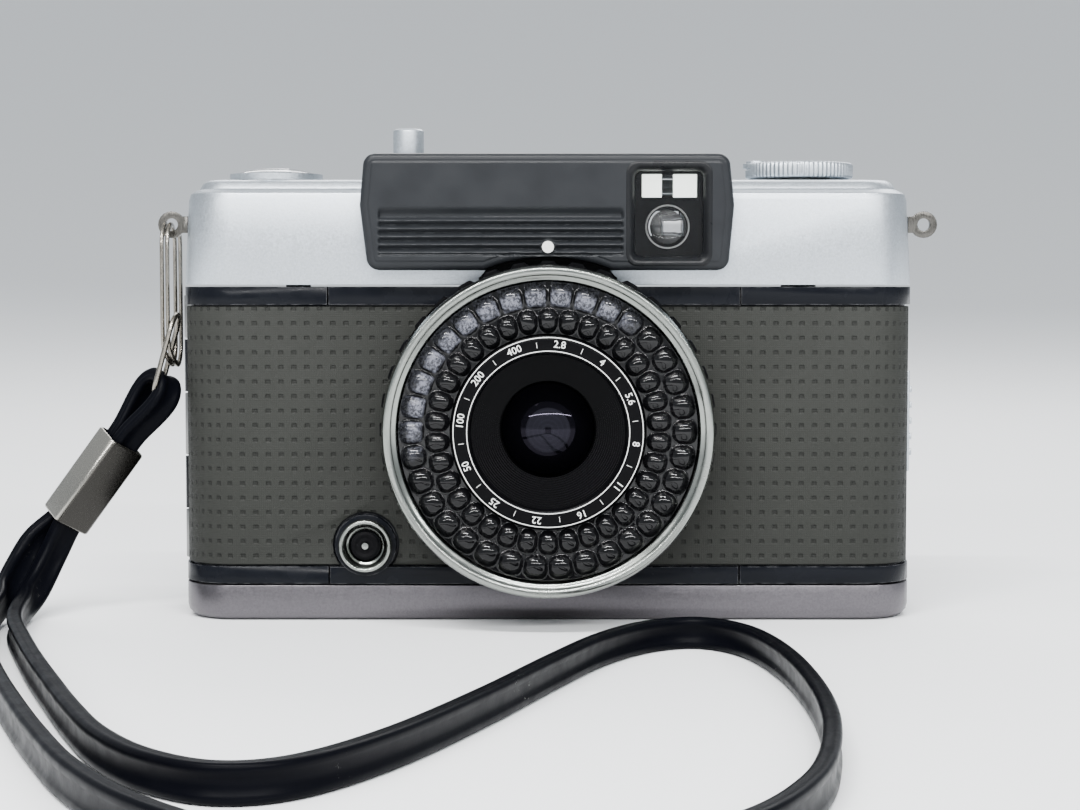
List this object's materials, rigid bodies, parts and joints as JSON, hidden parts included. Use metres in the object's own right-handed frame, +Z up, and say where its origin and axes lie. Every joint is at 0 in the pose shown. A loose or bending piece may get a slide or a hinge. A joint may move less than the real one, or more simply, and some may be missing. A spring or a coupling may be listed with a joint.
{
  "type": "half frame camera",
  "caption": "Half frame viewfinder camera with a light cell ring round its lens, hinged back, accessory shoe, rewind crank and wrist strap.",
  "frame": {"origin": "centre of the camera's bounding box on the surface it stands on, without the strap", "axes": "+Z up, the lens looks along -Y, +X is to the right of someone who faces the lens"},
  "size_m": [0.1451, 0.1769, 0.0758],
  "materials": {
    "satin_metal": "satin sand-blasted silver metal",
    "chrome": "bright plated metal",
    "steel": "plain spring and shaft steel",
    "black_paint": "glossy black enamel",
    "dark_grey": "satin dark grey enamel",
    "matt_black": "matt black",
    "leatherette": "olive grey embossed leatherette",
    "clear": "clear glass or acrylic",
    "cell": "dark selenium cell",
    "brass": "bare brass contact",
    "vinyl": "black ribbed vinyl",
    "red": "red flag",
    "nickel": "satin nickel plate",
    "white": "white paint"
  },
  "bodies": {
    "body": {"accessory_shoe": "chrome", "base_screw_1": "chrome", "base_screw_2": "chrome", "bottom_cover": "satin_metal", "brightframe_mask": "matt_black", "cell_cover": "clear", "chassis": "black_paint", "counter_bezel": "satin_metal", "counter_window": "clear", "door_hinge_pin": "steel", "eyepiece_frame": "black_paint", "eyepiece_lens": "clear", "front_bezel": "chrome", "front_element": "clear", "front_leather_left": "leatherette", "front_leather_right": "leatherette", "index_dot": "white", "lens_baffle": "matt_black", "lens_barrel": "matt_black", "lens_plate": "black_paint", "name_ring": "black_paint", "rear_element": "clear", "release_collar": "chrome", "selenium_cell": "cell", "shoe_contact": "brass", "shutter_plate": "steel", "split_ring": "nickel", "strap_clamp": "nickel", "strap_link": "nickel", "strap_lug_left": "chrome", "strap_lug_right": "chrome", "strap_top_loop": "vinyl", "sync_insulator": "matt_black", "sync_pin": "chrome", "sync_socket": "chrome", "top_cover": "satin_metal", "tripod_socket": "chrome", "viewfinder_frame": "black_paint", "viewfinder_objective": "clear", "viewfinder_shroud": "dark_grey", "viewfinder_tube": "matt_black", "viewfinder_window": "clear", "wrist_strap": "vinyl"},
    "back": {"back_door": "black_paint", "back_leather": "leatherette"},
    "pressure_plate": {"pressure_plate": "steel"},
    "door_catch": {"door_catch": "satin_metal"},
    "rewind_shaft": {"rewind_shaft": "steel"},
    "rewind_knob": {"rewind_knob": "satin_metal"},
    "rewind_crank": {"rewind_crank": "satin_metal"},
    "release_button": {"release_button": "chrome"},
    "advance_wheel": {"advance_wheel": "black_paint"},
    "take_up_spool": {"take_up_spool": "matt_black"},
    "sprocket": {"sprocket": "steel"},
    "counter_dial": {"counter_dial": "black_paint"},
    "aperture_ring": {"aperture_ring": "black_paint"},
    "shutter_blade_left": {"shutter_blade_left": "steel"},
    "shutter_blade_right": {"shutter_blade_right": "steel"},
    "viewfinder_flag": {"viewfinder_flag": "red"},
    "rewind_release_button": {"rewind_release_button": "chrome"}
  },
  "joints": [
    {"name": "back_open", "type": "hinge", "parent": "body", "child": "back", "pos_m": [-0.0574, 0.0137, 0.028], "axis": [0, 0, 1], "range_deg": [0, 120]},
    {"name": "pressure_plate_travel", "type": "slide", "parent": "back", "child": "pressure_plate", "axis": [0, 1, 0], "range_m": [0, 0.0008], "stiffness_N_per_m": 200},
    {"name": "door_catch_slide", "type": "slide", "parent": "body", "child": "door_catch", "axis": [0, 0, 1], "range_m": [0, 0.003]},
    {"name": "rewind_spin", "type": "hinge", "parent": "body", "child": "rewind_shaft", "pos_m": [0.04, 0.0073, 0.068], "axis": [0, 0, 1], "continuous": true},
    {"name": "rewind_lift", "type": "slide", "parent": "rewind_shaft", "child": "rewind_knob", "axis": [0, 0, 1], "range_m": [0, 0.007]},
    {"name": "crank_fold", "type": "hinge", "parent": "rewind_knob", "child": "rewind_crank", "pos_m": [0.0442, 0.0073, 0.0704], "axis": [0, 1, 0], "range_deg": [0, 150]},
    {"name": "release_press", "type": "slide", "parent": "body", "child": "release_button", "axis": [0, 0, -1], "range_m": [0, 0.0022], "stiffness_N_per_m": 300},
    {"name": "advance_turn", "type": "hinge", "parent": "body", "child": "advance_wheel", "pos_m": [-0.04, 0.0095, 0.054], "axis": [0, 0, 1], "continuous": true},
    {"name": "take_up_turn", "type": "hinge", "parent": "body", "child": "take_up_spool", "pos_m": [-0.04, 0.0095, 0.03], "axis": [0, 0, 1], "continuous": true},
    {"name": "sprocket_turn", "type": "hinge", "parent": "body", "child": "sprocket", "pos_m": [-0.0204, 0.0124, 0.03], "axis": [0, 0, 1], "continuous": true},
    {"name": "counter_turn", "type": "hinge", "parent": "body", "child": "counter_dial", "pos_m": [-0.0427, 0.004, 0.067], "axis": [0, 0, 1], "continuous": true},
    {"name": "aperture_turn", "type": "hinge", "parent": "body", "child": "aperture_ring", "pos_m": [0, -0.012, 0.03], "axis": [0, -1, 0], "range_deg": [0, 100]},
    {"name": "shutter_left_open", "type": "hinge", "parent": "body", "child": "shutter_blade_left", "pos_m": [-0.0066, -0.0124, 0.03], "axis": [0, -1, 0], "range_deg": [0, 24]},
    {"name": "shutter_right_open", "type": "hinge", "parent": "body", "child": "shutter_blade_right", "pos_m": [0.0066, -0.012, 0.03], "axis": [0, -1, 0], "range_deg": [-24, 0]},
    {"name": "flag_rise", "type": "hinge", "parent": "body", "child": "viewfinder_flag", "pos_m": [0.0156, -0.00085, 0.0581], "axis": [0, -1, 0], "range_deg": [0, 55]},
    {"name": "rewind_release_press", "type": "slide", "parent": "body", "child": "rewind_release_button", "axis": [0, 0, 1], "range_m": [0, 0.0015], "stiffness_N_per_m": 200}
  ],
  "couplings": [
    {"joint": "take_up_turn", "follows": "advance_turn", "ratio": 1},
    {"joint": "sprocket_turn", "follows": "advance_turn", "ratio": -1.3},
    {"joint": "counter_turn", "follows": "advance_turn", "ratio": 0.05},
    {"joint": "shutter_right_open", "follows": "shutter_left_open", "ratio": -1}
  ]
}
